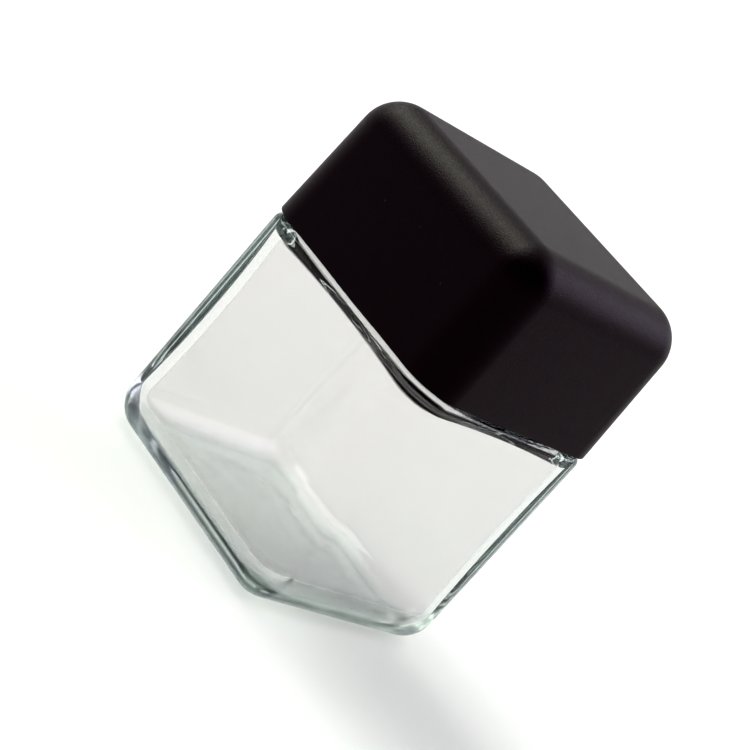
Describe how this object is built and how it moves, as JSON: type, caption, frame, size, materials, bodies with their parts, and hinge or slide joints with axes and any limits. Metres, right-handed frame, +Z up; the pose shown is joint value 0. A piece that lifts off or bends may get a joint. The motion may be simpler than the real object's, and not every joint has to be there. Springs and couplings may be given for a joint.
{
  "type": "square glass specimen jar with screw cap",
  "caption": "Square clear glass jar with a thick base, a round threaded neck and a tall square matte black screw cap that sits almost flush with the glass.",
  "frame": {"origin": "centre of the base, in the plane that the jar stands on", "axes": "+Z up through the neck and cap, +X and +Y square to the glass sides"},
  "size_m": [0.058, 0.058, 0.0837],
  "materials": {
    "clear_glass": "clear, smooth, faintly green where it is thick",
    "cap_plastic": "soft-touch matte black",
    "inner_cap_plastic": "plain moulded black",
    "liner_foam": "closed-cell foam, off-white"
  },
  "bodies": {
    "jar": {"glass_jar": "clear_glass"},
    "liner": {"sealing_liner": "liner_foam"},
    "cap": {"cap_shell": "cap_plastic", "inner_cap": "inner_cap_plastic"}
  },
  "joints": [
    {"name": "cap_lift", "type": "slide", "parent": "jar", "child": "liner", "axis": [0, 0, 1], "range_m": [0, 0.019]},
    {"name": "cap_turn", "type": "hinge", "parent": "liner", "child": "cap", "pos_m": [0, 0, 0.0566], "axis": [0, 0, 1], "range_deg": [0, 405]}
  ],
  "couplings": [
    {"joint": "cap_lift", "follows": "cap_turn", "m_per_rad": 0.0026738}
  ]
}
